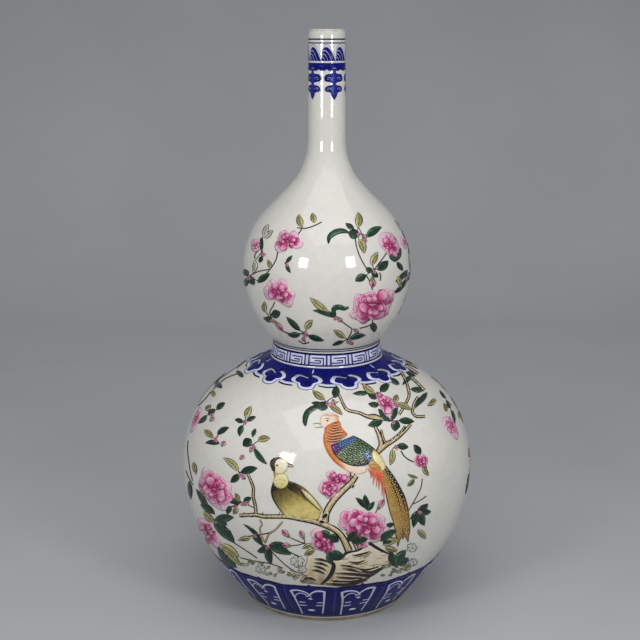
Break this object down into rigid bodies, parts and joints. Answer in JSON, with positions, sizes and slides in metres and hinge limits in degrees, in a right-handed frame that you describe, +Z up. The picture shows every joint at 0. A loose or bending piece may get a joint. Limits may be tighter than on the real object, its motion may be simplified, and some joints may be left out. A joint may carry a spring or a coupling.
{
  "type": "double gourd vase",
  "caption": "Double gourd porcelain vase: a round lower bulb, a pinched waist, a smaller upper bulb and a slender tubular neck, on a turned foot ring.",
  "frame": {"origin": "centre of the foot's resting face, on the axis of the vase", "axes": "+Z up along the vase's axis, towards the mouth; -Y is the side that faces the viewer in the picture"},
  "size_m": [0.1616, 0.1616, 0.3135],
  "materials": {
    "porcelain": "glossy clear glaze over a white body, painted in enamels and blue",
    "biscuit": "bare fired body at the foot's edge, glazed above",
    "luting_slip": "fired slip"
  },
  "bodies": {
    "root": {"foot_ring": "biscuit", "base_disc": "porcelain", "lower_bulb_bowl": "porcelain", "lower_bulb_shoulder": "porcelain", "waist_collar": "porcelain", "upper_bulb_bowl": "porcelain", "upper_bulb_shoulder": "porcelain", "neck_tube": "porcelain", "base_slip_ring": "luting_slip", "foot_slip_seam": "luting_slip", "lower_belly_slip_seam": "luting_slip", "lower_waist_slip_seam": "luting_slip", "upper_waist_slip_seam": "luting_slip", "upper_belly_slip_seam": "luting_slip", "neck_slip_seam": "luting_slip"}
  },
  "joints": []
}
